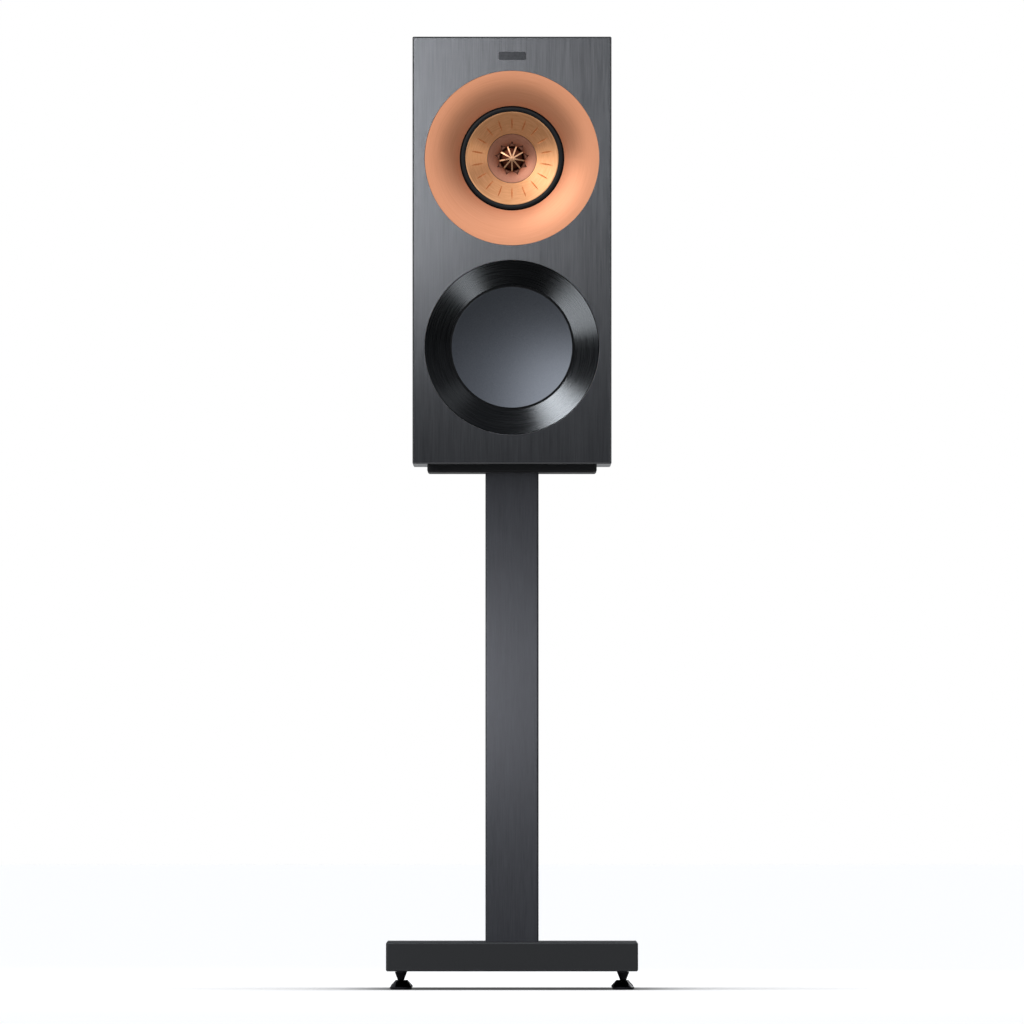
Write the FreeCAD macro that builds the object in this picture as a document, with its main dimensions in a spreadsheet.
"""Three-way bookshelf speaker bolted to its floor stand.

Frame: millimetres, +Z up, the front faces -Y, X to the right seen from the front.
The origin lies on the floor, under the middle of the object's bounding box.
A driver is drawn in its own frame: X is the radius and Y the depth behind the cabinet's front plane.
"""

import FreeCAD
import Part
import Sketcher

import math
import os
import re

V = FreeCAD.Vector
doc = FreeCAD.newDocument("Speaker")
sheet = doc.addObject("Spreadsheet::Sheet", "Sizes")

# Driving sizes: radii, thicknesses, lengths and clearances in millimetres, pattern counts without a unit.
SIZES = {
    "cabinet": {
        "side_margin": 12.7,
        "head_margin": 35.2,
        "foot_margin": 30.2,
        "ring_spacing": 15.4,
        "overall_depth": 430,
        "terminal_reach": 22,
        "stand_height": 542,
        "wall": 18,
        "lip": 1.4,
        "edge_ease": 1.0,
        "face_thick": 4,
        "board_thick": 30,
        "back_thick": 20,
        "divider_thick": 18,
        "chamber_depth": 141,
        "chamber_wall": 15,
        "brace_margin": 20,
        "brace_rib": 16,
        "pad_thick": 12,
        "pad_gap": 30,
    },
    "driver seats": {
        "ring_gap": 0.2,
        "ring_wall": 2.5,
        "rim_thick": 2.6,
        "ledge_depth": 24,
        "flange_thick": 5,
        "flange_gap": 0.3,
        "ledge_width": 9.8,
        "basket_gap": 0.5,
        "driver_screws": 6,
        "screw_inset": 6.3,
        "screw_shank": 2.0,
        "screw_head": 3.2,
        "screw_head_high": 3.2,
        "screw_bite": 12,
        "screw_fit": 0.1,
    },
    "coaxial driver": {
        "mid_edge": 47.9,
        "flare_band": 35.9,
        "flare_depth": 14,
        "mid_roll_width": 6.0,
        "mid_roll_high": 2.1,
        "mid_roll_wall": 0.6,
        "mid_land_depth": 17.6,
        "mid_land_width": 4.5,
        "mid_lip": 1.4,
        "mid_rim_depth": 15.2,
        "cone_wall": 0.6,
        "mid_neck_radius": 25.45,
        "mid_neck_depth": 28.3,
        "mid_neck_long": 5.7,
        "cone_ribs": 18,
        "rib_width": 0.9,
        "rib_depth": 0.3,
        "rib_inset": 4.2,
        "rib_start": 4.5,
        "mid_former_wall": 0.4,
        "mid_former_end": 68,
        "mid_winding": 1.1,
        "mid_winding_top": 57,
        "mid_winding_long": 10,
        "mid_shelf_depth": 44,
        "mid_shelf_radius": 50,
        "spider_wall": 0.5,
        "spider_wave": 1.4,
        "mid_floor_depth": 58,
        "mid_floor_thick": 4,
        "mid_rear_step": 16,
        "mid_gap": 0.6,
        "mid_plate_radius": 45,
        "mid_plate_thick": 6,
        "mid_magnet_radius": 46,
        "mid_magnet_step": 3.4,
        "mid_magnet_thick": 16,
        "pole_bore": 17,
        "horn_gap": 0.45,
        "throat_radius": 13.4,
        "throat_depth": 34.8,
        "horn_arc": 30,
        "horn_lip": 1.7,
        "horn_wall": 4.9,
        "horn_foot": 60,
        "petals": 9,
        "petal_slot_reach": 4.5,
        "petal_slot_wide": 5.4,
        "petal_slot_deep": 0.9,
        "fin_thick": 1.5,
        "fin_high": 2.3,
        "fin_gap": 1.0,
        "hub_radius": 1.9,
        "dome_radius": 12.5,
        "dome_high": 4.2,
        "dome_wall": 0.3,
        "dome_edge_depth": 38,
        "dome_roll": 2.1,
        "tweeter_former_long": 8,
        "tweeter_cup_wall": 4.4,
        "tweeter_clear": 0.4,
        "tweeter_top": 40.4,
        "tweeter_end": 56,
        "tweeter_plate": 3,
        "tweeter_vent": 4,
    },
    "bass driver": {
        "woofer_band": 25.4,
        "woofer_ring_depth": 9,
        "ring_chamfer": 0.5,
        "dish_gap": 2.4,
        "dish_depth": 9,
        "dish_wall": 1.0,
        "woofer_roll": 5.5,
        "woofer_roll_deep": 4.6,
        "woofer_roll_wall": 0.8,
        "woofer_lip": 3.2,
        "roll_start": 2.5,
        "dish_skirt_end": 16,
        "woofer_former": 37.2,
        "woofer_former_wall": 0.5,
        "woofer_former_end": 86,
        "former_top_gap": 0.3,
        "woofer_winding": 1.8,
        "woofer_winding_top": 68,
        "woofer_winding_long": 16,
        "woofer_shelf_depth": 49.1,
        "woofer_shelf_radius": 57,
        "woofer_floor_depth": 66,
        "woofer_floor_thick": 5,
        "woofer_floor_step": 4.8,
        "woofer_rear_step": 6,
        "woofer_coil_gap": 0.7,
        "woofer_plate_radius": 62,
        "woofer_plate_thick": 8,
        "woofer_magnet_radius": 68,
        "woofer_magnet_step": 5.8,
        "woofer_magnet_thick": 20,
        "woofer_vent": 9,
        "window_width": 40,
        "window_end": 42,
        "window_start": 28,
        "basket_wall": 4,
    },
    "port and terminals": {
        "port_height": 330,
        "port_radius": 35,
        "port_wall": 3,
        "port_room": 68,
        "port_flare": 15,
        "port_inner_flare": 12,
        "port_flange": 52,
        "port_flange_thick": 4,
        "port_proud": 1,
        "port_neck": 44.8,
        "panel_gap": 0.2,
        "plate_width": 110,
        "plate_height": 130,
        "plate_thick": 4,
        "plate_center": 105,
        "plate_rim": 10,
        "post_across": 28,
        "post_rise": 24,
        "stud_radius": 3.0,
        "stud_inside": 26,
        "stud_outside": 19,
        "socket_radius": 2.05,
        "socket_deep": 16,
        "shoulder_radius": 10,
        "shoulder_thick": 3,
        "nut_radius": 6,
        "nut_thick": 4,
        "collar_radius": 9.2,
        "collar_thick": 2,
        "cap_radius": 9.5,
        "cap_fit": 0.08,
        "cap_gap": 0.1,
        "cap_mouth": 4.4,
        "cap_flutes": 12,
        "flute_radius": 1.3,
        "knob_radius": 6,
        "knob_long": 11,
        "knob_clip": 4.2,
        "knob_clip_thick": 2,
        "knob_stem": 2.5,
        "knob_stem_long": 12,
        "knob_slot": 1.4,
        "plate_screw_inset": 6,
    },
    "crossover": {
        "circuit_length": 160,
        "circuit_width": 130,
        "circuit_thick": 2,
        "circuit_lift": 8,
        "circuit_gap": 33,
        "standoff_radius": 3,
        "coil_radius": 22,
        "coil_bore": 10,
        "coil_high": 20,
        "capacitor_radius": 10,
        "capacitor_long": 42,
        "lead_radius": 1.6,
        "lead_hole_radius": 2.4,
        "lead_hole_step": 20,
        "bed_width": 3,
    },
    "stand": {
        "top_plate_width": 175,
        "top_plate_length": 240,
        "top_plate_thick": 8,
        "plate_corner": 5,
        "plate_edge": 2.5,
        "plate_bolt_across": 70,
        "plate_bolt_along": 95,
        "bolt_radius": 3,
        "bolt_head": 5,
        "bolt_head_high": 4.5,
        "bolt_bite": 14,
        "bolt_fit": 0.15,
        "column_width": 55,
        "column_depth": 110,
        "column_corner": 2,
        "column_wall": 3,
        "channel_width": 30,
        "channel_depth": 15,
        "cover_ledge": 2,
        "boss": 11,
        "boss_bolt_inset": 8,
        "cover_thick": 3,
        "cover_fit": 0.2,
        "cable_slot": 40,
        "base_width": 260,
        "base_length": 340,
        "base_thick": 30,
        "base_height": 19,
        "base_chamfer": 1.2,
        "base_corner": 2.0,
        "foot_across": 114.7,
        "foot_along": 154,
        "spike_shank": 4,
        "spike_fit": 0.08,
        "spike_shank_long": 25,
        "spike_radius": 6,
        "spike_gap": 0.3,
        "spike_tip_height": 3.2,
        "spike_tip": 0.5,
        "shoe_radius": 11.4,
        "shoe_high": 8.2,
        "shoe_top": 6.2,
        "shoe_bottom": 10.2,
        "shoe_waist": 2.6,
        "dimple_radius": 3.6,
        "dimple_bottom": 1.1,
    },
}

# Places and fits worked out from the driving sizes; each may use the ones before it.
DERIVED = {
    "ring_radius": "mid_edge + mid_roll_width + flare_band",
    "woofer_height": "foot_margin + ring_radius",
    "mid_height": "woofer_height + 2 * ring_radius + ring_spacing",
    "cab_height": "mid_height + ring_radius + head_margin",
    "cab_width": "2 * (ring_radius + side_margin)",
    "cab_depth": "overall_depth - terminal_reach",
    "front_y": "-overall_depth / 2",
    "rear_y": "overall_depth / 2 - terminal_reach",
    "cab_mid_y": "(front_y + rear_y) / 2",
    "half_width": "cab_width / 2",
    "inner_half": "cab_width / 2 - wall",
    "lip_half": "cab_width / 2 - lip",
    "board_y": "front_y + face_thick",
    "board_back_y": "board_y + board_thick",
    "back_panel_y": "rear_y - back_thick",
    "inner_floor_z": "stand_height + wall",
    "inner_top_z": "stand_height + cab_height - wall",
    "mid_z": "stand_height + mid_height",
    "woofer_z": "stand_height + woofer_height",
    "divider_z": "woofer_z + ring_radius + (ring_spacing - divider_thick) / 2",
    "divider_top_z": "divider_z + divider_thick",
    "chamber_y": "board_back_y + chamber_depth",
    "chamber_back_y": "chamber_y + chamber_wall",
    "lead_hole_y": "chamber_y - lead_hole_step",
    "circuit_front": "back_panel_y - circuit_gap - circuit_length",
    "port_long": "rear_y - chamber_back_y - port_room",
    # driver seats, shared by both drivers
    "seat_radius": "ring_radius + ring_gap",
    "flange_top": "ledge_depth - flange_thick",
    "flange_radius": "ring_radius - flange_gap",
    "basket_hole": "ring_radius - ledge_width",
    "basket_radius": "basket_hole - basket_gap",
    "rim_inner": "ring_radius - rim_thick",
    "screw_circle": "ring_radius - screw_inset",
    # coaxial driver
    "flare_inner": "mid_edge + mid_roll_width",
    "flare_arc": "(flare_band ^ 2 + flare_depth ^ 2) / (2 * flare_depth)",
    "back_arc": "flare_arc - ring_wall",
    "flare_back": "flare_inner + 1.7 * ring_wall / 2.5",
    "flare_back_depth": "flare_arc - sqrt(back_arc ^ 2 - (ring_radius - flare_back) ^ 2)",
    "rim_meets": "flare_arc - sqrt(back_arc ^ 2 - rim_thick ^ 2)",
    "mid_lip_top": "mid_land_depth - mid_roll_wall",
    "mid_rim_back": "mid_rim_depth + mid_roll_wall",
    "mid_chord": "sqrt(mid_roll_width ^ 2 + (mid_lip_top - mid_rim_depth) ^ 2)",
    "mid_roll_arc": "((mid_chord / 2) ^ 2 + mid_roll_high ^ 2) / (2 * mid_roll_high)",
    "mid_cone_top": "mid_rim_depth - cone_wall",
    "mid_rear_radius": "mid_shelf_radius + mid_rear_step",
    "mid_former": "mid_neck_radius + 0.05",
    "mid_former_out": "mid_former + mid_former_wall",
    "mid_former_top": "mid_neck_depth + 2 * cone_wall",
    "mid_coil_out": "mid_former_out + mid_winding",
    "mid_plate_bore": "mid_coil_out + mid_gap",
    "mid_magnet_bore": "mid_plate_bore + mid_magnet_step",
    "mid_magnet_top": "mid_floor_depth + mid_plate_thick",
    "mid_yoke_top": "mid_magnet_top + mid_magnet_thick",
    "mid_yoke_end": "mid_yoke_top + mid_plate_thick",
    "horn_radius": "mid_neck_radius - horn_gap",
    "horn_tube": "horn_radius - 0.1",
    "pole_radius": "mid_former - 0.3",
    "dome_arc": "(dome_radius ^ 2 + dome_high ^ 2) / (2 * dome_high)",
    "dome_top": "dome_edge_depth - dome_high",
    "tweeter_seat": "dome_edge_depth + dome_wall + tweeter_clear",
    "fin_back_top": "dome_top - fin_gap",
    "fin_back_edge": "dome_edge_depth - fin_gap",
    # bass driver
    "woofer_ring_inner": "ring_radius - woofer_band",
    "dish_radius": "woofer_ring_inner - dish_gap",
    "dish_arc": "(dish_radius ^ 2 + dish_depth ^ 2) / (2 * dish_depth)",
    "dish_center": "woofer_ring_depth + dish_depth",
    "roll_in": "dish_radius + roll_start",
    "roll_out": "roll_in + 2 * woofer_roll",
    "lip_top": "flange_top - woofer_roll_wall",
    "woofer_chord": "sqrt(4 * woofer_roll ^ 2 + (lip_top - dish_skirt_end) ^ 2)",
    "woofer_roll_arc": "((woofer_chord / 2) ^ 2 + woofer_roll_deep ^ 2) / (2 * woofer_roll_deep)",
    "dish_drop": "dish_arc - sqrt(dish_arc ^ 2 - woofer_former ^ 2)",
    "woofer_former_out": "woofer_former + woofer_former_wall",
    "woofer_former_top": "dish_center - dish_drop + dish_wall + former_top_gap",
    "woofer_coil_out": "woofer_former_out + woofer_winding",
    "woofer_plate_bore": "woofer_coil_out + woofer_coil_gap",
    "woofer_rear_radius": "woofer_magnet_radius + woofer_rear_step",
    "woofer_pole": "woofer_former - 0.6",
    "woofer_magnet_bore": "woofer_plate_bore + woofer_magnet_step",
    "woofer_floor_bore": "woofer_plate_bore + woofer_floor_step",
    "woofer_magnet_top": "woofer_floor_depth + woofer_plate_thick",
    "woofer_yoke_top": "woofer_magnet_top + woofer_magnet_thick",
    "woofer_yoke_end": "woofer_yoke_top + woofer_plate_thick",
    # terminals
    "plate_z": "stand_height + plate_center",
    "collar_start": "shoulder_thick + cap_gap",
    "cap_start": "collar_start + collar_thick + cap_gap",
    "cap_bore": "stud_radius + cap_fit",
    # stand
    "plate_bottom": "stand_height - top_plate_thick",
    "base_top": "base_height + base_thick",
    "column_height": "plate_bottom - base_top",
    "column_half": "column_width / 2",
    "channel_half": "channel_width / 2",
    "column_bolt_x": "column_half - boss_bolt_inset",
    "column_bolt_y": "column_depth / 2 - boss_bolt_inset",
    "channel_y": "column_depth / 2 - channel_depth",
    "column_y": "cab_mid_y",
}


def fill_sheet():
    """One row for each driving size: its name, its plain number under an alias."""
    row = 1
    for group, sizes in SIZES.items():
        sheet.set(f"A{row}", group)
        row += 1
        for name, value in sizes.items():
            sheet.set(f"A{row}", name)
            sheet.set(f"B{row}", str(value))
            sheet.setAlias(f"B{row}", name)
            row += 1
    doc.recompute()


ALIASES = {name for sizes in SIZES.values() for name in sizes}


def linked(text):
    """The expression that FreeCAD reads: derived names opened out, aliases led by the sheet's name."""

    def word(match):
        name = match.group(0)
        if name in DERIVED:
            return "(" + linked(DERIVED[name]) + ")"
        return "Sizes." + name if name in ALIASES else name

    return re.sub(r"[a-z_]+[a-z_]", word, str(text))


def size(text):
    """The number that an expression has now."""
    value = sheet.evalExpression(linked(text))
    return float(getattr(value, "Value", value))


def bind(thing, field, text):
    thing.setExpression(field, linked(text))


def put(thing, place):
    """Ties an object's position to three expressions."""
    for axis, text in zip("xyz", place):
        bind(thing, f"Placement.Base.{axis}", text)


# ---- sketches -------------------------------------------------------------------------------------


def new_body(label, place):
    body = doc.addObject("PartDesign::Body", label)
    body.Label = label
    put(body, place)
    return body


def new_sketch(body, plane, offset=None):
    """A sketch on one of the body's own origin planes, moved along its normal by offset."""
    found = [o for o in body.Origin.OriginFeatures if o.Role == plane][0]
    sketch = body.newObject("Sketcher::SketchObject", body.Name + "_sketch")
    sketch.AttachmentSupport = [(found, "")]
    sketch.MapMode = "FlatFace"
    if offset is not None:
        bind(sketch, "AttachmentOffset.Base.z", offset)
    return sketch


def pin_point(sketch, shape, end, x, y):
    """Ties one point of a sketch to its distances from the sketch's origin."""
    for kind, text in (("DistanceX", x), ("DistanceY", y)):
        index = sketch.addConstraint(Sketcher.Constraint(kind, -1, 1, shape, end, size(text)))
        bind(sketch, f"Constraints[{index}]", text)


def pin_radius(sketch, shape, text):
    index = sketch.addConstraint(Sketcher.Constraint("Radius", shape, size(text)))
    bind(sketch, f"Constraints[{index}]", text)


def arc_between(start, end, radius, left):
    """The short arc of that radius, its centre to the left or right of the way from start to end."""
    along = end - start
    reach = math.sqrt(max(radius**2 - (along.Length / 2) ** 2, 0.0))
    side = V(-along.y, along.x, 0).normalize() * (reach if left else -reach)
    centre = (start + end) * 0.5 + side
    first, last = (start, end) if left else (end, start)
    angles = [math.atan2(p.y - centre.y, p.x - centre.x) for p in (first, last)]
    return Part.ArcOfCircle(Part.Circle(centre, V(0, 0, 1), radius), *angles)


def draw(sketch, outline):
    """A closed outline of (x, y) points.

    (x, y, radius) starts an arc, (x, y, radius, "left") an arc that turns left.
    """
    corners = [V(size(p[0]), size(p[1]), 0) for p in outline]
    first, shapes, ends = sketch.GeometryCount, [], []
    for i, point in enumerate(outline):
        start, end = corners[i], corners[(i + 1) % len(corners)]
        if len(point) == 2:
            shapes.append(Part.LineSegment(start, end))
            ends.append((1, 2))
        else:
            left = len(point) == 4
            shapes.append(arc_between(start, end, size(point[2]), left))
            ends.append((1, 2) if left else (2, 1))
    sketch.addGeometry(shapes)
    for i in range(len(shapes)):
        following = (i + 1) % len(shapes)
        joint = (first + i, ends[i][1], first + following, ends[following][0])
        sketch.addConstraint(Sketcher.Constraint("Coincident", *joint))
    for i, point in enumerate(outline):
        pin_point(sketch, first + i, ends[i][0], point[0], point[1])
        if len(point) > 2:
            pin_radius(sketch, first + i, point[2])


def draw_circle(sketch, x, y, radius):
    shape = sketch.addGeometry(Part.Circle(V(size(x), size(y), 0), V(0, 0, 1), size(radius)))
    pin_point(sketch, shape, 3, x, y)
    pin_radius(sketch, shape, radius)


def rectangle(x_low, x_high, y_low, y_high):
    return [(x_low, y_low), (x_high, y_low), (x_high, y_high), (x_low, y_high)]


def rounded(half_x, half_y, corner):
    """A rectangle about the origin with round corners."""
    near_x, near_y = f"({half_x}) - ({corner})", f"({half_y}) - ({corner})"
    return [
        (f"-({near_x})", f"-({half_y})"),
        (near_x, f"-({half_y})", corner, "left"),
        (half_x, f"-({near_y})"),
        (half_x, near_y, corner, "left"),
        (near_x, half_y),
        (f"-({near_x})", half_y, corner, "left"),
        (f"-({half_x})", near_y),
        (f"-({half_x})", f"-({near_y})", corner, "left"),
    ]


# ---- features -------------------------------------------------------------------------------------


def turned(label, outline, place, plane="XY_Plane"):
    """A body turned a full circle about its Y axis (XY_Plane) or Z axis (XZ_Plane)."""
    body = new_body(label, place)
    sketch = new_sketch(body, plane)
    draw(sketch, outline)
    turn = body.newObject("PartDesign::Revolution", label + "_turned")
    turn.Profile = sketch
    turn.ReferenceAxis = (sketch, ["V_Axis"])
    turn.Angle = 360
    return body


def padded(label, place, plane, outlines, circles, length, back=False):
    """A body with one pad of closed outlines and circles; back sends it against the plane's normal."""
    body = new_body(label, place)
    sketch = new_sketch(body, plane)
    for outline in outlines:
        draw(sketch, outline)
    for circle in circles:
        draw_circle(sketch, *circle)
    pad = body.newObject("PartDesign::Pad", label + "_pad")
    pad.Profile = sketch
    bind(pad, "Length", length)
    pad.Reversed = back
    return body


def cut(body, plane, outlines, circles, length, back=False, offset=None, middle=False):
    """A pocket of closed outlines and circles; middle spreads it to both sides of the plane."""
    sketch = new_sketch(body, plane, offset)
    for outline in outlines:
        draw(sketch, outline)
    for circle in circles:
        draw_circle(sketch, *circle)
    pocket = body.newObject("PartDesign::Pocket", body.Name + "_pocket")
    pocket.Profile = sketch
    bind(pocket, "Length", length)
    if middle:
        pocket.Midplane = True
    pocket.Reversed = back
    return pocket


def repeated(body, feature, axis_role, count):
    """The feature, count times round one of the body's axes."""
    axis = [o for o in body.Origin.OriginFeatures if o.Role == axis_role][0]
    pattern = body.newObject("PartDesign::PolarPattern", body.Name + "_pattern")
    pattern.Originals = [feature]
    pattern.Axis = (axis, [""])
    pattern.Angle = 360
    bind(pattern, "Occurrences", count)
    body.Tip = pattern
    return pattern


def block(label, x_low, x_high, y_low, y_high, z_low, z_high):
    """A plain rectangular board between six planes."""
    box = doc.addObject("Part::Box", label)
    box.Label = label
    bind(box, "Length", f"({x_high}) - ({x_low})")
    bind(box, "Width", f"({y_high}) - ({y_low})")
    bind(box, "Height", f"({z_high}) - ({z_low})")
    put(box, (x_low, y_low, z_low))
    return box


def rod(label, radius, length, place, turn=None):
    """A cylinder that stands on place along Z, or along where turn points its axis."""
    cylinder = doc.addObject("Part::Cylinder", label)
    bind(cylinder, "Radius", radius)
    bind(cylinder, "Height", length)
    if turn:
        cylinder.Placement = FreeCAD.Placement(V(), turn)
    put(cylinder, place)
    return cylinder


def group(label, members):
    """Several separate solids that share one node."""
    compound = doc.addObject("Part::Compound", label)
    compound.Label = label
    compound.Links = members
    return compound


def downward(outline):
    """(radius, depth) points drawn in a YZ sketch, where the radius runs down."""
    return [(point[1], f"-({point[0]})", *point[2:]) for point in outline]


def ringed(centre_z, radius, count, start=0.0):
    """(x, z) expressions of points evenly round a circle in an XZ sketch."""
    turns = [start + 360.0 * i / count for i in range(count)]
    return [(f"{radius} * cos({a} deg)", f"{centre_z} + {radius} * sin({a} deg)") for a in turns]


# ---- cabinet --------------------------------------------------------------------------------------


def mitred_panel(label, outline):
    """A wall with mitred ends, thinned to a lip where the front board is let in."""
    body = padded(label, ("0", "front_y", "stand_height"), "XZ_Plane", [outline], [], "cab_depth", back=True)
    inside = rectangle("-lip_half", "lip_half", "lip", "cab_height - lip")
    cut(body, "XZ_Plane", [inside], [], "face_thick + board_thick")
    return body


def cabinet_walls():
    for label, side in (("left_side_panel", "-"), ("right_side_panel", "")):
        outline = [
            (f"{side}half_width", "edge_ease"),
            (f"{side}(half_width - edge_ease / 2)", "edge_ease / 2"),
            (f"{side}inner_half", "wall"),
            (f"{side}inner_half", "cab_height - wall"),
            (f"{side}(half_width - edge_ease / 2)", "cab_height - edge_ease / 2"),
            (f"{side}half_width", "cab_height - edge_ease"),
        ]
        mitred_panel(label, outline)
    for label, outer, step in (("bottom_panel", "0", "1"), ("top_panel", "cab_height", "-1")):
        outline = [
            ("-(half_width - edge_ease)", outer),
            ("half_width - edge_ease", outer),
            ("half_width - edge_ease / 2", f"{outer} + {step} * edge_ease / 2"),
            ("inner_half", f"{outer} + {step} * wall"),
            ("-inner_half", f"{outer} + {step} * wall"),
            ("-(half_width - edge_ease / 2)", f"{outer} + {step} * edge_ease / 2"),
        ]
        body = mitred_panel(label, outline)
        if label == "bottom_panel":
            spots = [
                (
                    f"{a} * plate_bolt_across",
                    f"{b} * plate_bolt_along + cab_depth / 2",
                    "bolt_radius + bolt_fit",
                )
                for a in (-1, 1)
                for b in (-1, 1)
            ]
            cut(body, "XY_Plane", [], spots, "bolt_bite", back=True)


def front_panel():
    """Brushed aluminium face with the two driver openings."""
    face = rectangle("-lip_half", "lip_half", "lip", "cab_height - lip")
    holes = [("0", "mid_height", "seat_radius"), ("0", "woofer_height", "seat_radius")]
    place = ("0", "front_y", "stand_height")
    padded("front_panel", place, "XZ_Plane", [face], holes, "face_thick", back=True)


def baffle_board():
    """Thick board behind the face, rebated so that each driver's flange lands on a ledge."""
    face = rectangle("-lip_half", "lip_half", "lip", "cab_height - lip")
    holes = [("0", "mid_height", "basket_hole"), ("0", "woofer_height", "basket_hole")]
    for height in ("mid_height", "woofer_height"):
        for x, z in ringed(height, "screw_circle", size_count("driver_screws"), 30.0):
            holes.append((x, z, "screw_shank + screw_fit"))
    place = ("0", "board_y", "stand_height")
    body = padded("baffle_board", place, "XZ_Plane", [face], holes, "board_thick", back=True)
    seats = [("0", "mid_height", "seat_radius"), ("0", "woofer_height", "seat_radius")]
    cut(body, "XZ_Plane", [], seats, "ledge_depth - face_thick")


def rear_panel():
    """Back board with the port's hole, the terminal window and a rebate round each."""
    face = rectangle("-inner_half", "inner_half", "wall", "cab_height - wall")
    inset_x, inset_z = "(plate_width / 2 - plate_rim)", "(plate_height / 2 - plate_rim)"
    window = rectangle(
        f"-{inset_x}", inset_x, f"plate_center - {inset_z}", f"plate_center + {inset_z}"
    )
    port = ("0", "port_height", "port_neck + panel_gap")
    place = ("0", "rear_y", "stand_height")
    body = padded("rear_panel", place, "XZ_Plane", [face, window], [port], "back_thick")
    flange = ("0", "port_height", "port_flange + panel_gap")
    cut(body, "XZ_Plane", [], [flange], "port_flange_thick", back=True)
    plate = rectangle(
        "-plate_width / 2",
        "plate_width / 2",
        "plate_center - plate_height / 2",
        "plate_center + plate_height / 2",
    )
    cut(body, "XZ_Plane", [plate], [], "plate_thick", back=True)
    cut(body, "XZ_Plane", [], plate_screw_spots("screw_shank + screw_fit"), "back_thick", back=True)


def plate_screw_spots(radius):
    """The terminal plate's four corner screws, in the cabinet's own XZ plane."""
    x, z = "(plate_width / 2 - plate_screw_inset)", "(plate_height / 2 - plate_screw_inset)"
    return [(f"{a} * {x}", f"plate_center + {b} * {z}", radius) for a in (-1, 1) for b in (-1, 1)]


def inner_boards():
    """The closed box behind the coaxial driver, and the windowed brace that carries on to the back."""
    across = ("-inner_half", "inner_half")
    board = block("chamber_board", *across, "board_back_y", "chamber_back_y", "divider_z", "divider_top_z")
    floor = doc.addObject("Part::Cut", "chamber_floor")
    floor.Base = board
    hole = ("0", "lead_hole_y", "divider_z - 1")
    floor.Tool = rod("lead_hole", "lead_hole_radius", "divider_thick + 2", hole)
    back = block(
        "chamber_back",
        "-inner_half",
        "inner_half",
        "chamber_y",
        "chamber_back_y",
        "divider_top_z",
        "inner_top_z",
    )
    group("mid_chamber_walls", [floor, back])
    outline = rectangle("-inner_half", "inner_half", "chamber_back_y", "back_panel_y")
    halves = (
        ("-inner_half + brace_margin", "-brace_rib / 2"),
        ("brace_rib / 2", "inner_half - brace_margin"),
    )
    windows = [
        rectangle(*x, "chamber_back_y + brace_margin", "back_panel_y - brace_margin")
        for x in halves
    ]
    padded("window_brace", ("0", "0", "divider_z"), "XY_Plane", [outline, *windows], [], "divider_thick")


def damping_pads():
    """Felt pads on the bass chamber's sides and on the midrange chamber's back."""
    low, high = "inner_floor_z + pad_gap", "divider_z - pad_gap / 3"
    front, back = "chamber_y - pad_gap", "back_panel_y - pad_gap"
    side = "inner_half - pad_thick"
    left = block("pad_left", "-inner_half", f"-({side})", front, back, low, high)
    right = block("pad_right", side, "inner_half", front, back, low, high)
    rear = block(
        "pad_mid",
        "-inner_half + pad_gap",
        "inner_half - pad_gap",
        "chamber_y - pad_thick",
        "chamber_y",
        "divider_top_z + pad_gap / 2",
        "inner_top_z - pad_gap / 2",
    )
    group("damping_pads", [left, right, rear])


# ---- coaxial driver -------------------------------------------------------------------------------

COAX = ("0", "front_y", "mid_z")
BASS = ("0", "front_y", "woofer_z")


def coax_trim_ring():
    """Flared ring: flat and flush at the baffle, falling ever more steeply towards the cone."""
    outline = [
        ("flare_inner", "flare_depth", "flare_arc", "left"),
        ("ring_radius", "0"),
        ("ring_radius", "flange_top"),
        ("rim_inner", "flange_top"),
        ("rim_inner", "rim_meets", "back_arc"),
        ("flare_back", "flare_back_depth"),
    ]
    turned("coax_trim_ring", outline, COAX)


def basket(label, outline, place, window_low, window_high):
    """Die-cast chassis: a turned shell with windows in its wall and screw holes in its flange."""
    body = turned(label, outline, place)
    opening = rectangle(f"({window_low[0]})", "ring_radius", window_low[1], window_high)
    window = cut(body, "XY_Plane", [opening], [], "window_width", middle=True)
    repeated(body, window, "Y_Axis", "driver_screws")
    hole = ("screw_circle * cos(30 deg)", "screw_circle * sin(30 deg)", "screw_shank + screw_fit")
    drilled = cut(body, "XZ_Plane", [], [hole], "ledge_depth + 1")
    repeated(body, drilled, "Y_Axis", "driver_screws")


def coax_chassis():
    inner = "flare_inner + mid_roll_wall"
    outline = [
        (inner, "mid_land_depth"),
        ("flare_inner + mid_land_width + mid_roll_wall", "mid_land_depth"),
        ("flare_inner + mid_land_width + mid_roll_wall", "flange_top"),
        ("flange_radius", "flange_top"),
        ("flange_radius", "ledge_depth"),
        ("basket_radius", "ledge_depth"),
        ("mid_rear_radius", "mid_shelf_depth + 6"),
        ("mid_rear_radius", "mid_floor_depth"),
        ("mid_plate_bore + 2.4", "mid_floor_depth"),
        ("mid_plate_bore + 2.4", "mid_floor_depth - mid_floor_thick"),
        ("mid_shelf_radius", "mid_floor_depth - mid_floor_thick"),
        ("mid_shelf_radius", "mid_shelf_depth"),
        ("mid_rear_radius - basket_wall + 1", "mid_shelf_depth"),
        ("basket_radius - basket_wall - 2", "ledge_depth"),
        (inner, "ledge_depth - 1.4"),
    ]
    low = ("mid_rear_radius - 2 * basket_wall", "window_start")
    basket("coax_chassis", outline, COAX, low, "window_end")


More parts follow.
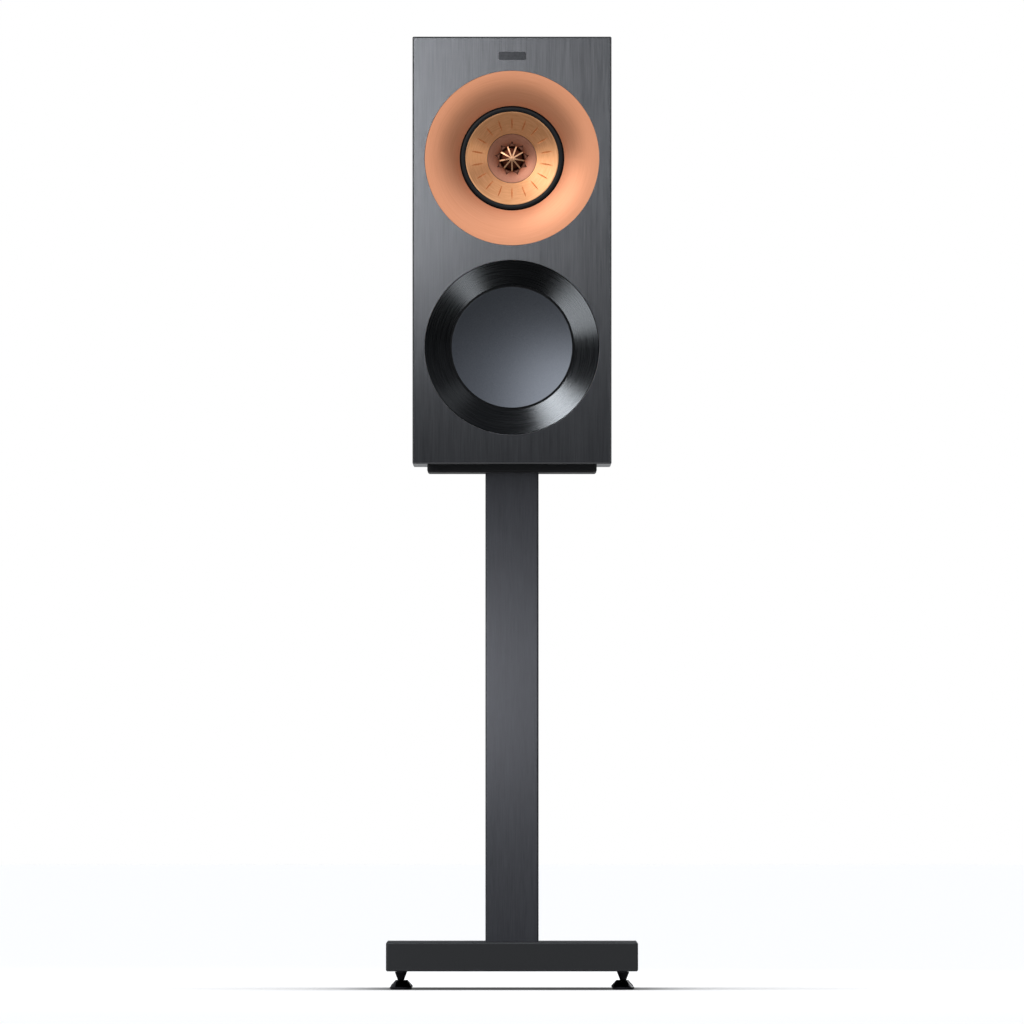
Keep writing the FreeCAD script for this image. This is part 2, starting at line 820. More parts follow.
def mid_surround():
    """Rubber roll between the cone's edge and the chassis, standing forward."""
    outline = [
        ("mid_edge - mid_lip", "mid_rim_depth"),
        ("mid_edge", "mid_rim_depth", "mid_roll_arc", "left"),
        ("flare_inner", "mid_lip_top"),
        ("flare_inner + mid_land_width", "mid_lip_top"),
        ("flare_inner + mid_land_width", "mid_land_depth"),
        ("flare_inner", "mid_land_depth", "mid_roll_arc"),
        ("mid_edge", "mid_rim_back"),
        ("mid_edge - mid_lip", "mid_rim_back"),
    ]
    turned("mid_surround", outline, COAX)


def mid_cone():
    """Thin metal cone with a neck for the former and short radial ribs pressed into its face."""
    outline = [
        ("mid_neck_radius", "mid_neck_depth"),
        ("mid_edge - mid_lip", "mid_cone_top"),
        ("mid_edge", "mid_cone_top"),
        ("mid_edge", "mid_rim_depth"),
        ("mid_edge - mid_lip", "mid_rim_depth"),
        ("mid_former_out + cone_wall", "mid_neck_depth + cone_wall / 2"),
        ("mid_former_out + cone_wall", "mid_neck_depth + mid_neck_long"),
        ("mid_former_out", "mid_neck_depth + mid_neck_long"),
        ("mid_former_out", "mid_neck_depth + cone_wall"),
        ("mid_neck_radius", "mid_neck_depth + cone_wall"),
    ]
    body = turned("mid_cone", outline, COAX)
    slope = "(mid_neck_depth - mid_cone_top) / (mid_edge - mid_lip - mid_neck_radius)"
    start, stop = "mid_neck_radius + rib_start", "mid_edge - mid_lip - rib_inset"
    first = f"mid_neck_depth - {slope} * rib_start + rib_depth"
    last = f"mid_cone_top + {slope} * rib_inset + rib_depth"
    groove = [(start, f"{first} - 3"), (stop, f"{last} - 3"), (stop, last), (start, first)]
    rib = cut(body, "YZ_Plane", [downward(groove)], [], "rib_width", middle=True)
    repeated(body, rib, "Y_Axis", "cone_ribs")


def tube(label, outer, inner, top, bottom, place):
    return turned(label, rectangle(inner, outer, top, bottom), place)


def mid_moving_parts():
    former = tube("mid_former_tube", "mid_former_out", "mid_former", "mid_former_top", "mid_former_end", COAX)
    end = "mid_winding_top + mid_winding_long"
    winding = tube("mid_winding_wire", "mid_coil_out", "mid_former_out", "mid_winding_top", end, COAX)
    group("mid_voice_coil", [former, winding])


def spider(label, inner, shelf, depth, waves, place):
    """Corrugated disc from the former to the chassis shelf, its waves as arcs that turn alternately."""
    outer = f"({shelf})"
    step = f"(({outer}) - ({inner})) / {waves}"
    arc = f"((({step}) / 2) ^ 2 + spider_wave ^ 2) / (2 * spider_wave)"
    top, bottom = f"({depth}) - spider_wall", f"({depth})"
    front, rear = [], []
    for i in range(waves):
        turn = () if i % 2 == 0 else ("left",)
        front.append((f"{inner} + {i} * {step}", top, arc, *turn))
    for i in range(waves, 0, -1):
        turn = ("left",) if (i - 1) % 2 == 0 else ()
        rear.append((f"{inner} + {i} * {step}", bottom, arc, *turn))
    rim = [(outer, top), (f"{outer} + 4.5", top), (f"{outer} + 4.5", bottom)]
    turned(label, [*front, *rim, *rear, (inner, bottom)], place)


def pole_plates(label, kind, pole, vent, pole_top, place):
    """Front plate and yoke, the two steel pieces either side of the magnet."""
    top, bottom = f"{kind}_floor_depth", f"{kind}_magnet_top"
    front = tube(kind + "_front_plate", f"{kind}_plate_radius", f"{kind}_plate_bore", top, bottom, place)
    outline = [
        (vent, pole_top),
        (pole, pole_top),
        (pole, f"{kind}_yoke_top"),
        (f"{kind}_plate_radius", f"{kind}_yoke_top"),
        (f"{kind}_plate_radius", f"{kind}_yoke_end"),
        (vent, f"{kind}_yoke_end"),
    ]
    yoke = turned(kind + "_yoke", outline, place)
    group(label, [front, yoke])


def tweeter_waveguide():
    """Short horn on a tube that stands on the pole, with a pointed channel between each pair of fins."""
    bore = "horn_radius - horn_wall"
    outline = [
        ("throat_radius", "throat_depth", "horn_arc", "left"),
        ("horn_radius", "mid_neck_depth"),
        ("horn_radius", "mid_neck_depth + 1"),
        ("horn_tube", "mid_neck_depth + 1"),
        ("horn_tube", "horn_foot"),
        (bore, "horn_foot"),
        (bore, "throat_depth + horn_lip"),
        ("throat_radius", "throat_depth + horn_lip"),
    ]
    body = turned("tweeter_waveguide", outline, COAX)
    half = "petal_slot_wide / 2"
    slot = [
        (half, "throat_radius - 1"),
        (half, "throat_radius"),
        ("0", "throat_radius + petal_slot_reach"),
        (f"-{half}", "throat_radius"),
        (f"-{half}", "throat_radius - 1"),
    ]
    deep = "throat_depth + petal_slot_deep - mid_neck_depth"
    channel = cut(body, "XZ_Plane", [slot], [], deep, offset="-mid_neck_depth")
    repeated(body, channel, "Y_Axis", "petals")


def tweeter_phase_plug():
    """Hub and radial fins that follow the dome's crown at a small distance."""
    hub = [
        ("0", "fin_back_top - fin_high"),
        ("hub_radius", "fin_back_top - fin_high + 0.3"),
        ("hub_radius", "fin_back_top + 0.08"),
        ("0", "fin_back_top"),
    ]
    body = turned("tweeter_phase_plug", hub, COAX)
    sketch = new_sketch(body, "YZ_Plane")
    reach = "sqrt(throat_radius ^ 2 - (fin_thick / 2) ^ 2)"
    fin = [
        ("hub_radius - 0.6", "fin_back_top - fin_high + 0.2", "dome_arc + fin_high", "left"),
        (reach, "throat_depth - 0.4"),
        (reach, "fin_back_edge - 0.9", "dome_arc"),
        ("hub_radius - 0.6", "fin_back_top + 0.06"),
    ]
    draw(sketch, downward(fin))
    pad = body.newObject("PartDesign::Pad", "phase_plug_fin")
    pad.Profile = sketch
    bind(pad, "Length", "fin_thick")
    pad.Midplane = True
    repeated(body, pad, "Y_Axis", "petals")


def tweeter_dome():
    """Domed diaphragm with its half roll, and the voice coil's former below it."""
    outline = [
        ("0", "dome_top", "dome_arc", "left"),
        ("dome_radius", "dome_edge_depth"),
        ("dome_radius + dome_roll", "dome_edge_depth"),
        ("dome_radius + dome_roll", "dome_edge_depth + dome_wall"),
        ("dome_radius", "dome_edge_depth + dome_wall", "dome_arc"),
        ("0", "dome_top + dome_wall"),
    ]
    dome = turned("dome_skin", outline, COAX)
    top = "dome_edge_depth + dome_wall"
    end = f"{top} + tweeter_former_long"
    former = tube("dome_former", "dome_radius", "dome_radius - 0.2", top, end, COAX)
    group("tweeter_dome", [dome, former])


def tweeter_motor():
    """Cup, disc magnet and pole plate of the tweeter, held in the waveguide's tube."""
    bore, floor = "horn_radius - horn_wall", "tweeter_end - tweeter_plate"
    wall = f"{bore} - tweeter_cup_wall"
    split = "tweeter_top + tweeter_plate"
    cup = [
        (wall, split),
        (bore, split),
        (bore, "tweeter_end"),
        ("tweeter_vent", "tweeter_end"),
        ("tweeter_vent", floor),
        (wall, floor),
    ]
    solids = [
        tube("tweeter_front_plate", bore, "dome_radius + dome_roll / 2", "tweeter_seat", split, COAX),
        turned("tweeter_cup", cup, COAX),
        tube("tweeter_pole_plate", "dome_radius - 0.8", "tweeter_vent", "tweeter_top", split, COAX),
        tube("tweeter_magnet", "dome_radius - 1.5", "tweeter_vent", split, floor, COAX),
    ]
    group("tweeter_motor", solids)


# ---- bass driver ----------------------------------------------------------------------------------


def woofer_trim_ring():
    """Straight conical ring, spun and polished, with a small outer chamfer."""
    outline = [
        ("woofer_ring_inner", "woofer_ring_depth"),
        ("ring_radius - ring_chamfer", "0"),
        ("ring_radius", "ring_chamfer"),
        ("ring_radius", "flange_top"),
        ("rim_inner", "flange_top"),
        ("rim_inner", "ring_wall + woofer_ring_depth * rim_thick / woofer_band"),
        ("woofer_ring_inner", "woofer_ring_depth + ring_wall"),
    ]
    turned("woofer_trim_ring", outline, BASS)


def woofer_chassis():
    outline = [
        ("roll_out + 0.5", "flange_top"),
        ("flange_radius", "flange_top"),
        ("flange_radius", "ledge_depth"),
        ("basket_radius", "ledge_depth"),
        ("woofer_rear_radius", "woofer_floor_depth - 10"),
        ("woofer_rear_radius", "woofer_floor_depth"),
        ("woofer_floor_bore", "woofer_floor_depth"),
        ("woofer_floor_bore", "woofer_floor_depth - woofer_floor_thick"),
        ("woofer_shelf_radius", "woofer_floor_depth - woofer_floor_thick"),
        ("woofer_shelf_radius", "woofer_shelf_depth"),
        ("woofer_rear_radius - basket_wall", "woofer_shelf_depth"),
        ("roll_out + 0.5", "ledge_depth + 3"),
    ]
    low = ("woofer_rear_radius - 3 * basket_wall", "window_start + 2")
    basket("woofer_chassis", outline, BASS, low, "window_end + 2")


def woofer_surround():
    """Rubber roll that hangs backwards, out of sight behind the trim ring."""
    outline = [
        ("dish_radius - dish_wall", "dish_skirt_end"),
        ("roll_in", "dish_skirt_end", "woofer_roll_arc"),
        ("roll_out", "lip_top"),
        ("roll_out + woofer_lip", "lip_top"),
        ("roll_out + woofer_lip", "flange_top"),
        ("roll_out", "flange_top", "woofer_roll_arc", "left"),
        ("roll_in", "dish_skirt_end + woofer_roll_wall"),
        ("dish_radius - dish_wall", "dish_skirt_end + woofer_roll_wall"),
    ]
    turned("woofer_surround", outline, BASS)


def woofer_dish():
    """One-piece concave metal diaphragm, with a skirt down to the surround."""
    inner = "(dish_radius - dish_wall)"
    skin = f"dish_center + dish_wall - dish_arc + sqrt(dish_arc ^ 2 - {inner} ^ 2)"
    outline = [
        ("0", "dish_center", "dish_arc"),
        ("dish_radius", "woofer_ring_depth"),
        ("dish_radius", "dish_skirt_end"),
        (inner, "dish_skirt_end"),
        (inner, skin, "dish_arc", "left"),
        ("0", "dish_center + dish_wall"),
    ]
    turned("woofer_dish", outline, BASS)


def woofer_voice_coil():
    former = tube(
        "woofer_former_tube",
        "woofer_former_out",
        "woofer_former",
        "woofer_former_top",
        "woofer_former_end",
        BASS,
    )
    end = "woofer_winding_top + woofer_winding_long"
    top = "woofer_winding_top"
    winding = tube("woofer_winding_wire", "woofer_coil_out", "woofer_former_out", top, end, BASS)
    group("woofer_voice_coil", [former, winding])


# ---- port and terminals ---------------------------------------------------------------------------


def port_tube():
    """Reflex tube, flared at both ends, its flange let into the back panel."""
    throat_in = "port_proud - port_flare"
    far = "-(port_long - port_inner_flare)"
    lip = "port_radius + port_inner_flare"
    outline = [
        ("port_flange", "-port_flange_thick"),
        ("port_flange", "port_proud - 0.6"),
        ("port_flange - 0.6", "port_proud"),
        ("port_radius + port_flare", "port_proud", "port_flare", "left"),
        ("port_radius", throat_in),
        ("port_radius", far, "port_inner_flare", "left"),
        (lip, "-port_long"),
        (lip, "-port_long + port_wall", "port_inner_flare - port_wall"),
        ("port_radius + port_wall", far),
        ("port_radius + port_wall", "-port_flare - 1"),
        ("port_neck", "-2 * port_flange_thick"),
        ("port_neck", "-port_flange_thick"),
    ]
    turned("port_tube", outline, ("0", "rear_y", "stand_height + port_height"))


def post_spots():
    """The four binding posts: label, x, z."""
    sides = (("left", "-1"), ("right", "1"))
    rows = (("bass", "-1"), ("treble", "1"))
    return [
        (f"{row}_{side}", f"{a} * post_across", f"plate_z + {b} * post_rise")
        for row, b in rows
        for side, a in sides
    ]


def terminal_plate():
    half_x, half_z = "(plate_width / 2 - panel_gap)", "(plate_height / 2 - panel_gap)"
    outline = rectangle(f"-{half_x}", half_x, f"plate_center - {half_z}", f"plate_center + {half_z}")
    holes = [
        (f"{a} * post_across", f"plate_center + {b} * post_rise", "stud_radius + screw_fit")
        for a in (-1, 1)
        for b in (-1, 1)
    ]
    holes += [(f"{a} * post_across", "plate_center", "knob_stem + cap_fit") for a in (-1, 1)]
    holes += plate_screw_spots("screw_shank + screw_fit")
    place = ("0", "rear_y", "stand_height")
    padded("terminal_plate", place, "XZ_Plane", [outline], holes, "plate_thick")


def terminal_studs():
    """Threaded posts with a shoulder outside, a nut inside and a banana socket down the middle."""
    outline = [
        ("0", "-stud_inside"),
        ("stud_radius", "-stud_inside"),
        ("stud_radius", "-plate_thick - nut_thick"),
        ("nut_radius", "-plate_thick - nut_thick"),
        ("nut_radius", "-plate_thick"),
        ("stud_radius", "-plate_thick"),
        ("stud_radius", "0"),
        ("shoulder_radius", "0"),
        ("shoulder_radius", "shoulder_thick"),
        ("stud_radius", "shoulder_thick"),
        ("stud_radius", "stud_outside"),
        ("socket_radius", "stud_outside"),
        ("socket_radius", "stud_outside - socket_deep"),
        ("0", "stud_outside - socket_deep"),
    ]
    studs = [turned("stud_" + name, outline, (x, "rear_y", z)) for name, x, z in post_spots()]
    group("terminal_studs", studs)


def terminal_collars_and_caps():
    """On each post a collar that slides and a fluted cap that turns and drives it."""
    start, end = "cap_start", "terminal_reach"
    cap_outline = [
        ("cap_bore", start),
        ("cap_radius - 0.9", start),
        ("cap_radius", f"{start} + 0.9"),
        ("cap_radius", f"{end} - 1.6"),
        ("cap_radius - 1.6", end),
        ("cap_mouth", end),
        ("cap_bore", f"{end} - 1.2"),
    ]
    for name, x, z in post_spots():
        place = (x, "rear_y", z)
        collar_end = "collar_start + collar_thick"
        tube("terminal_collar_" + name, "collar_radius", "cap_bore", "collar_start", collar_end, place)
        cap = turned("terminal_cap_" + name, cap_outline, place)
        spot = ("cap_radius + flute_radius * 0.6", "0", "flute_radius")
        flute = cut(cap, "XZ_Plane", [], [spot], "terminal_reach + 1")
        repeated(cap, flute, "Y_Axis", "cap_flutes")


def link_knobs():
    """Slotted selectors that join or part the bass and treble inputs of each side."""
    outline = [
        ("0", "-knob_stem_long"),
        ("knob_stem", "-knob_stem_long"),
        ("knob_stem", "-plate_thick - cap_gap - knob_clip_thick"),
        ("knob_clip", "-plate_thick - cap_gap - knob_clip_thick"),
        ("knob_clip", "-plate_thick - cap_gap"),
        ("knob_stem", "-plate_thick - cap_gap"),
        ("knob_stem", "cap_gap"),
        ("knob_radius", "cap_gap"),
        ("knob_radius", "knob_long"),
        ("knob_radius - 0.8", "knob_long + 0.8"),
        ("0", "knob_long + 0.8"),
    ]
    for side, a in (("left", "-1"), ("right", "1")):
        body = turned("link_knob_" + side, outline, (f"{a} * post_across", "rear_y", "plate_z"))
        slot = rectangle("-knob_slot / 2", "knob_slot / 2", "-knob_radius - 1", "knob_radius + 1")
        cut(body, "XZ_Plane", [slot], [], "2.4", offset="-(knob_long + 0.8)", back=True)


# ---- crossover ------------------------------------------------------------------------------------


def crossover():
    """Circuit board on standoffs over the bottom panel, with air-core coils and film capacitors."""
    half = "circuit_width / 2"
    low = "inner_floor_z + circuit_lift"
    front, back = "circuit_front", "circuit_front + circuit_length"
    board = block("circuit_board", f"-{half}", half, front, back, low, f"{low} + circuit_thick")
    middle, reach = "circuit_front + circuit_length / 2", "circuit_length / 2 - 8"
    legs = [
        rod(
            f"standoff_{a}_{b}",
            "standoff_radius",
            "circuit_lift",
            (f"{a} * ({half} - 8)", f"{middle} + {b} * ({reach})", "inner_floor_z"),
        )
        for a in (-1, 1)
        for b in (-1, 1)
    ]
    group("crossover_board", [board, *legs])
    deck = f"{low} + circuit_thick"
    coils = []
    for i, (x, y) in enumerate((("-36", "30"), ("36", "30"), ("-36", "80"))):
        wound = rectangle("coil_bore", "coil_radius", "0", "coil_high")
        coils.append(turned(f"coil_{i}", wound, (x, f"circuit_front + {y}", deck), plane="XZ_Plane"))
    group("crossover_coils", coils)
    middle = "sqrt(capacitor_radius ^ 2 - bed_width ^ 2)"
    can = [
        ("bed_width", "0", "capacitor_radius", "left"),
        ("capacitor_radius", middle, "capacitor_radius", "left"),
        ("0", f"{middle} + capacitor_radius", "capacitor_radius", "left"),
        ("-capacitor_radius", middle, "capacitor_radius", "left"),
        ("-bed_width", "0"),
    ]
    cans = []
    spots = (("8", "75"), ("8", "98"), ("8", "121"), ("-50", "121"), ("-50", "145"), ("8", "145"))
    for i, (x, y) in enumerate(spots):
        place = (x, f"circuit_front + {y}", deck)
        cans.append(padded(f"capacitor_{i}", place, "YZ_Plane", [can], [], "capacitor_long"))
    group("crossover_capacitors", cans)


def bent_wire(points, radius):
    """A round wire along straight runs joined by tangent arcs, each as large as its two runs allow."""
    edges, at = [], points[0]
    for before, corner, after in zip(points, points[1:], points[2:]):
        back, on = before - corner, after - corner
        turn = math.pi - back.getAngle(on)
        reach = 0.45 * min(back.Length, on.Length)
        start = corner + back.normalize() * reach
        end = corner + on.normalize() * reach
        arc_radius = reach / math.tan(turn / 2)
        bisector = ((start + end) * 0.5 - corner).normalize()
        centre_distance = arc_radius / math.cos(turn / 2)
        middle = corner + bisector * (centre_distance - arc_radius)
        edges += [Part.LineSegment(at, start).toShape(), Part.Arc(start, middle, end).toShape()]
        at = end
    edges.append(Part.LineSegment(at, points[-1]).toShape())
    path = Part.Wire(edges)
    heading = (points[1] - points[0]).normalize()
    section = Part.Wire(Part.Circle(points[0], heading, radius).toShape())
    wire = path.makePipeShell([section], True, False)
    expected = math.pi * radius**2 * path.Length
    if abs(wire.Volume - expected) > 0.01 * expected:
        raise ValueError("a lead's volume is off")
    return wire


def internal_leads():
    """Leads from the circuit board to both drivers, and from the terminals into the bass chamber."""
    deck = size("inner_floor_z + circuit_lift + circuit_thick")
    front, hole_y = size("circuit_front"), size("lead_hole_y")
    bass_y, bass_low = size("front_y + woofer_floor_depth"), size("woofer_z - woofer_rear_radius")
    yoke_y, yoke_z = size("front_y + mid_yoke_end"), size("mid_z - (pole_bore + mid_plate_radius) / 2")
    posts_y, post_x = size("rear_y - stud_inside"), size("post_across")
    radius = size("lead_radius")
    clear = deck + size("coil_high")
    routes = [
        [
            V(0, front + 12, deck),
            V(0, front + 12, clear),
            V(0, bass_y - 5, clear - 22),
            V(0, bass_y - 5, bass_low),
        ],
        [
            V(0, front + 30, deck),
            V(0, front + 30, clear + 60),
            V(0, hole_y, clear + 110),
            V(0, hole_y, yoke_z),
            V(0, yoke_y, yoke_z),
        ],
    ]
    for side in (-1, 1):
        for row in (-1, 1):
            x, z = side * post_x, size("plate_z") + row * size("post_rise")
            routes.append([V(x, posts_y, z), V(x, posts_y - 14, z), V(x * 0.9, posts_y - 18, z - 16)])
    leads = doc.addObject("Part::Feature", "internal_leads")
    leads.Label = "internal_leads"
    leads.Shape = Part.makeCompound([bent_wire(points, radius) for points in routes])


# ---- stand ----------------------------------------------------------------------------------------


def size_count(name):
    return int(round(size(name)))


def bolt_corners(x, y, radius):
    return [(f"{a} * ({x})", f"{b} * ({y})", radius) for a in (-1, 1) for b in (-1, 1)]


def stand_top_plate():
    """Steel plate under the cabinet, its lower edge rounded, with counterbored bolt holes."""
    outline = rounded("top_plate_width / 2", "top_plate_length / 2", "plate_corner")
    clear = "bolt_radius + bolt_fit"
    holes = bolt_corners("plate_bolt_across", "plate_bolt_along", clear)
    holes += bolt_corners("column_bolt_x", "column_bolt_y", clear)
    place = ("0", "cab_mid_y", "plate_bottom")
    body = padded("stand_top_plate", place, "XY_Plane", [outline], holes, "top_plate_thick")
    sink = "bolt_head + bolt_fit"
    below = bolt_corners("plate_bolt_across", "plate_bolt_along", sink)
    cut(body, "XY_Plane", [], below, "bolt_head_high", back=True)
    above = bolt_corners("column_bolt_x", "column_bolt_y", sink)
    cut(body, "XY_Plane", [], above, "bolt_head_high", offset="top_plate_thick")
    soften_lower_edge(body)


def soften_lower_edge(body):
    """Rounds the outer arris of the plate's underside."""
    doc.recompute()
    half_x, half_y = size("top_plate_width / 2"), size("top_plate_length / 2")
    shape, names = body.Tip.Shape, []
    for index, edge in enumerate(shape.Edges, 1):
        box = edge.BoundBox
        outside = max(abs(box.XMin), abs(box.XMax)) > half_x - size("plate_corner") - 0.01
        outside = outside and max(abs(box.YMin), abs(box.YMax)) > half_y - size("plate_corner") - 0.01
        if box.ZMax < 1e-3 and outside:
            names.append(f"Edge{index}")
    base = body.Tip
    fillet = body.newObject("PartDesign::Fillet", body.Name + "_edge")
    fillet.Base = (base, names)
    bind(fillet, "Radius", "plate_edge")


def stand_column():
    """Extrusion with a screw boss in each corner and a cable channel open to the back."""
    outer = rounded("column_half", "column_depth / 2", "column_corner")
    near_x, near_y = "column_half - column_wall", "column_depth / 2 - column_wall"
    boss_x, boss_y = "column_half - boss - column_wall / 2", "column_depth / 2 - boss - column_wall / 2"
    floor = "channel_y - column_wall"
    hollow = [
        (f"-({boss_x})", f"-({near_y})"),
        (boss_x, f"-({near_y})"),
        (boss_x, f"-({boss_y})"),
        (near_x, f"-({boss_y})"),
        (near_x, f"{floor} - 2"),
        (f"-({near_x})", f"{floor} - 2"),
        (f"-({near_x})", f"-({boss_y})"),
        (f"-({boss_x})", f"-({boss_y})"),
    ]
    bores = bolt_corners("column_bolt_x", "column_bolt_y", "bolt_radius + bolt_fit")
    place = ("0", "column_y", "base_top")
    body = padded("stand_column", place, "XY_Plane", [outer, hollow], bores, "column_height")
    return body


def cable_channel(body):
    """The channel, and the shallower seat that its cover snaps into."""
    narrow, outside = "channel_half - cover_ledge", "column_depth / 2 + 1"
    channel = rectangle(f"-({narrow})", narrow, "channel_y", outside)
    cut(body, "XY_Plane", [channel], [], "column_height", back=True)
    seat = rectangle("-channel_half", "channel_half", "column_depth / 2 - cover_thick", outside)
    cut(body, "XY_Plane", [seat], [], "column_height", back=True)


def cable_cover():
    """Strip that closes the channel, short of both ends so that a cable can get in and out."""
    half = "channel_half - cover_fit"
    rear = "column_y + column_depth / 2"
    block(
        "cable_cover",
        f"-({half})",
        half,
        f"{rear} - cover_thick",
        rear,
        "base_top + cable_slot",
        "plate_bottom - cable_slot",
    )


def stand_base():
    """Heavy slab with eased edges, spike holes at its corners and column bolts from below."""
    outline = rounded("base_width / 2", "base_length / 2", "base_corner")
    holes = bolt_corners("foot_across", "foot_along", "spike_shank + spike_fit")
    clear = "bolt_radius + bolt_fit"
    column = [
        (f"{a} * column_bolt_x", f"column_y + {b} * column_bolt_y", clear) for a in (-1, 1) for b in (-1, 1)
    ]
    place = ("0", "0", "base_height")
    body = padded("stand_base", place, "XY_Plane", [outline], holes + column, "base_thick")
    sunk = [(x, y, "bolt_head + bolt_fit") for x, y, _ in column]
    cut(body, "XY_Plane", [], sunk, "bolt_head_high + 2", back=True)
    doc.recompute()
    reach, names = size("base_width / 2") - size("base_corner") - 0.01, []
    for index, edge in enumerate(body.Tip.Shape.Edges, 1):
        box = edge.BoundBox
        flat = box.ZMax - box.ZMin < 1e-3
        if flat and (max(abs(box.XMin), abs(box.XMax)) > reach):
            names.append(f"Edge{index}")
    base = body.Tip
    ease = body.newObject("PartDesign::Chamfer", "base_edges")
    ease.Base = (base, names)
    bind(ease, "Size", "base_chamfer")


def feet():
    """At each corner a spike screwed up into the base, and the shoe that its tip stands in."""
    top = "base_height - spike_gap"
    spike = [
        ("0", "spike_tip_height"),
        ("spike_tip", "spike_tip_height"),
        ("spike_radius", f"{top} - 1"),
        ("spike_radius", top),
        ("spike_shank", top),
        ("spike_shank", f"{top} + spike_shank_long"),
        ("0", f"{top} + spike_shank_long"),
    ]
    shoe = [
        ("0", "0"),
        ("shoe_bottom", "0"),
        ("shoe_radius", "0.9"),
        ("shoe_radius", "shoe_waist"),
        ("shoe_top", "shoe_high"),
        ("dimple_radius", "shoe_high"),
        ("dimple_bottom", "spike_tip_height"),
        ("0", "spike_tip_height"),
    ]
    corners = (("front_left", -1, -1), ("front_right", 1, -1), ("rear_left", -1, 1), ("rear_right", 1, 1))
    for name, a, b in corners:
        place = (f"{a} * foot_across", f"{b} * foot_along", "0")
        turned("spike_" + name, spike, place, plane="XZ_Plane")
        turned("spike_shoe_" + name, shoe, place, plane="XZ_Plane")


# ---- fasteners ------------------------------------------------------------------------------------


def cap_screw(label, place, turn, head, head_high, shank, long):
    """A socket-head screw: its head stands out along turn's axis and its shank runs the other way."""
    outline = [
        ("0", f"-({long})"),
        (shank, f"-({long})"),
        (shank, "0"),
        (head, "0"),
        (head, head_high),
        (f"({shank}) * 0.8", head_high),
        (f"({shank}) * 0.8", f"({head_high}) * 0.4"),
        ("0", f"({head_high}) * 0.4"),
    ]
    body = turned(label, outline, place, plane="XZ_Plane")
    body.Placement.Rotation = turn
    put(body, place)
    return body


def socket_screws():
    """All the hex-socket screws: both drivers, the terminal plate, the stand's plate and its column."""
    to_front = FreeCAD.Rotation(V(0, 0, 1), V(0, -1, 0))
    to_back = FreeCAD.Rotation(V(0, 0, 1), V(0, 1, 0))
    upright = FreeCAD.Rotation()
    down = FreeCAD.Rotation(V(0, 0, 1), V(0, 0, -1))
    small = ("screw_head", "screw_head_high", "screw_shank", "screw_bite")
    large = ("bolt_head - bolt_fit", "bolt_head_high - bolt_fit", "bolt_radius", "bolt_bite")
    made = []
    for kind in ("mid_z", "woofer_z"):
        for i, (x, z) in enumerate(ringed(kind, "screw_circle", size_count("driver_screws"), 30.0)):
            made.append(cap_screw(f"{kind}_screw_{i}", (x, "front_y + flange_top", z), to_front, *small))
    for i, (x, z, _) in enumerate(plate_screw_spots("0")):
        made.append(cap_screw(f"plate_screw_{i}", (x, "rear_y", f"stand_height + {z}"), to_back, *small))
    for i, (x, y, _) in enumerate(bolt_corners("plate_bolt_across", "plate_bolt_along", "0")):
        place = (x, f"cab_mid_y + {y}", "plate_bottom + bolt_head_high")
        made.append(cap_screw(f"cabinet_bolt_{i}", place, down, *large))
    for i, (x, y, _) in enumerate(bolt_corners("column_bolt_x", "column_bolt_y", "0")):
        place = (x, f"cab_mid_y + {y}", "stand_height - bolt_head_high")
        made.append(cap_screw(f"column_top_bolt_{i}", place, upright, *large))
        place = (x, f"column_y + {y}", "base_height + bolt_head_high + 2")
        long = "base_thick - bolt_head_high + bolt_bite"
        made.append(cap_screw(f"column_foot_bolt_{i}", place, down, *large[:3], long))
    group("socket_screws", made)


# ---- build and write ------------------------------------------------------------------------------

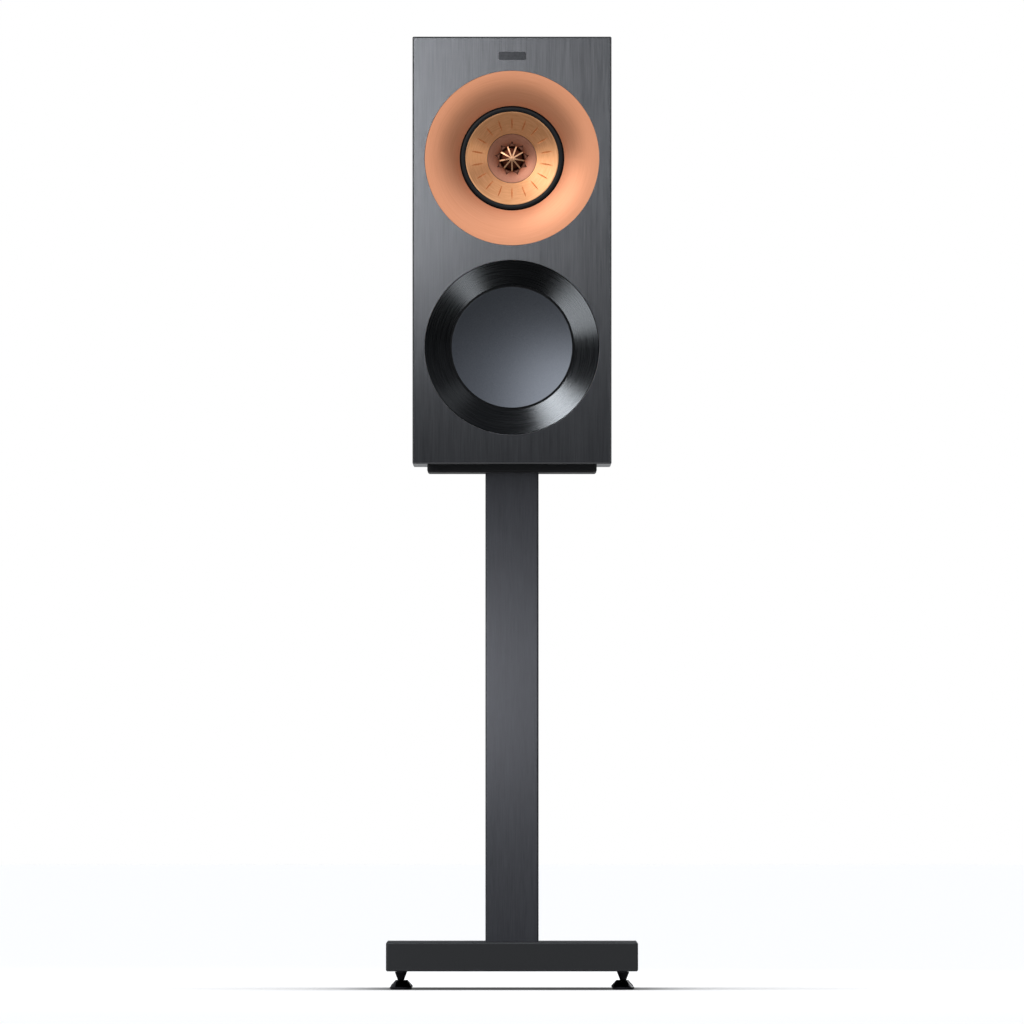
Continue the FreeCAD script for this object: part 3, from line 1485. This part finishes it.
NODES = """
front_panel baffle_board left_side_panel right_side_panel top_panel bottom_panel rear_panel
mid_chamber_walls window_brace damping_pads
coax_trim_ring coax_chassis mid_surround mid_cone mid_voice_coil mid_spider mid_magnet mid_pole_plates
tweeter_waveguide tweeter_phase_plug tweeter_dome tweeter_motor
woofer_trim_ring woofer_chassis woofer_surround woofer_dish woofer_voice_coil woofer_spider
woofer_magnet woofer_pole_plates
port_tube terminal_plate terminal_studs
terminal_collar_bass_left terminal_collar_bass_right terminal_collar_treble_left terminal_collar_treble_right
terminal_cap_bass_left terminal_cap_bass_right terminal_cap_treble_left terminal_cap_treble_right
link_knob_left link_knob_right
crossover_board crossover_coils crossover_capacitors internal_leads
stand_top_plate stand_column cable_cover stand_base
spike_front_left spike_front_right spike_rear_left spike_rear_right
spike_shoe_front_left spike_shoe_front_right spike_shoe_rear_left spike_shoe_rear_right
socket_screws
""".split()


def build():
    fill_sheet()
    cabinet_walls()
    front_panel()
    baffle_board()
    rear_panel()
    inner_boards()
    damping_pads()
    coax_trim_ring()
    coax_chassis()
    mid_surround()
    mid_cone()
    mid_moving_parts()
    spider("mid_spider", "mid_former_out", "mid_shelf_radius + 0.5", "mid_shelf_depth", 6, COAX)
    tube("mid_magnet", "mid_magnet_radius", "mid_magnet_bore", "mid_magnet_top", "mid_yoke_top", COAX)
    pole_plates("mid_pole_plates", "mid", "pole_radius", "pole_bore", "horn_foot", COAX)
    tweeter_waveguide()
    tweeter_phase_plug()
    tweeter_dome()
    tweeter_motor()
    woofer_trim_ring()
    woofer_chassis()
    woofer_surround()
    woofer_dish()
    woofer_voice_coil()
    spider("woofer_spider", "woofer_former_out", "woofer_shelf_radius + 0.5", "woofer_shelf_depth", 6, BASS)
    top, end = "woofer_magnet_top", "woofer_yoke_top"
    tube("woofer_magnet", "woofer_magnet_radius", "woofer_magnet_bore", top, end, BASS)
    pole_plates("woofer_pole_plates", "woofer", "woofer_pole", "woofer_vent", "woofer_floor_depth - 2", BASS)
    port_tube()
    terminal_plate()
    terminal_studs()
    terminal_collars_and_caps()
    link_knobs()
    crossover()
    internal_leads()
    stand_top_plate()
    cable_channel(stand_column())
    cable_cover()
    stand_base()
    feet()
    socket_screws()
    doc.recompute()


def check():
    """Stops before anything is written if an object failed or a node has no valid solid."""
    failed = [o.Name for o in doc.Objects if {"Invalid", "Error"} & set(o.State)]
    if failed:
        raise SystemExit(f"these objects failed: {failed}")
    for name in NODES:
        shape = doc.getObjectsByLabel(name)[0].Shape
        if shape.isNull() or not shape.isValid() or not shape.Solids:
            raise SystemExit(f"{name} has no valid solid")


def write():
    os.makedirs("parts", exist_ok=True)
    for name in NODES:
        doc.getObjectsByLabel(name)[0].Shape.exportStep(os.path.join("parts", name + ".step"))


build()
check()
write()
print(len(NODES), "nodes written")
